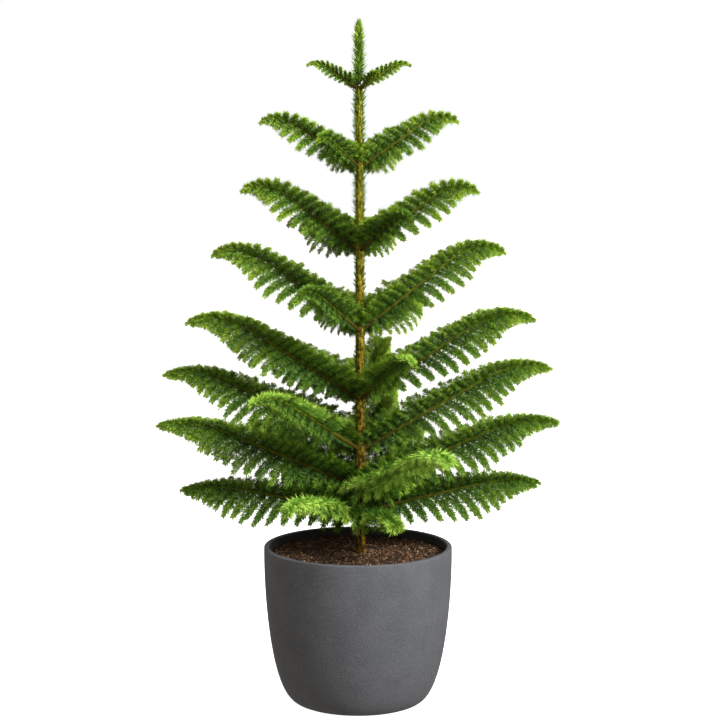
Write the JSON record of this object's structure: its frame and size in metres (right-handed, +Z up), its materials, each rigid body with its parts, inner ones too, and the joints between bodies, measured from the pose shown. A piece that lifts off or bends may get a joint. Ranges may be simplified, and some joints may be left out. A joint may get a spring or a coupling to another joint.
{
  "type": "potted norfolk island pine",
  "caption": "Young Norfolk Island pine with a straight trunk, whorls of arching feathery fronds and a leading shoot, growing in a round dark grey fibre-clay pot.",
  "frame": {"origin": "centre of the pot's flat underside, on the surface that it stands on", "axes": "+Z up along the trunk, +X to the plant's right as seen from its front, -Y to its front"},
  "size_m": [0.599, 0.4925, 1.011],
  "materials": {
    "pot": "matte dark grey fibre clay, finely speckled",
    "soil": "moist crumbly potting mix",
    "bark": "golden brown bark with leaf scars",
    "needles": "green needles with a satin gloss"
  },
  "bodies": {
    "root": {"bough_whorl_1_left": "bark", "bough_whorl_1_right": "bark", "bough_whorl_2_left": "bark", "bough_whorl_2_right": "bark", "bough_whorl_3_left": "bark", "bough_whorl_3_right": "bark", "bough_whorl_4_left": "bark", "bough_whorl_4_right": "bark", "bough_whorl_5_left": "bark", "bough_whorl_5_right": "bark", "bough_whorl_6_left": "bark", "bough_whorl_6_right": "bark", "bough_whorl_7_left": "bark", "bough_whorl_7_right": "bark", "frond_whorl_1_back_left": "needles", "frond_whorl_1_back_right": "needles", "frond_whorl_1_front_left": "needles", "frond_whorl_1_front_right": "needles", "frond_whorl_1_left": "needles", "frond_whorl_1_right": "needles", "frond_whorl_2_back_left": "needles", "frond_whorl_2_back_right": "needles", "frond_whorl_2_front_right": "needles", "frond_whorl_2_left": "needles", "frond_whorl_2_right": "needles", "frond_whorl_3_back_left": "needles", "frond_whorl_3_back_right": "needles", "frond_whorl_3_front_left": "needles", "frond_whorl_3_left": "needles", "frond_whorl_3_right": "needles", "frond_whorl_4_back_left": "needles", "frond_whorl_4_back_right": "needles", "frond_whorl_4_front_right": "needles", "frond_whorl_4_left": "needles", "frond_whorl_4_right": "needles", "frond_whorl_5_back_left": "needles", "frond_whorl_5_back_right": "needles", "frond_whorl_5_front_left": "needles", "frond_whorl_5_left": "needles", "frond_whorl_5_right": "needles", "frond_whorl_6_back_left": "needles", "frond_whorl_6_back_right": "needles", "frond_whorl_6_front_right": "needles", "frond_whorl_6_left": "needles", "frond_whorl_6_right": "needles", "frond_whorl_7_back_left": "needles", "frond_whorl_7_back_right": "needles", "frond_whorl_7_front_left": "needles", "frond_whorl_7_left": "needles", "frond_whorl_7_right": "needles", "frond_whorl_8_back_left": "needles", "frond_whorl_8_front_right": "needles", "frond_whorl_8_left": "needles", "frond_whorl_8_right": "needles", "leading_shoot": "needles", "pot": "pot", "soil": "soil", "trunk": "bark"}
  },
  "joints": []
}
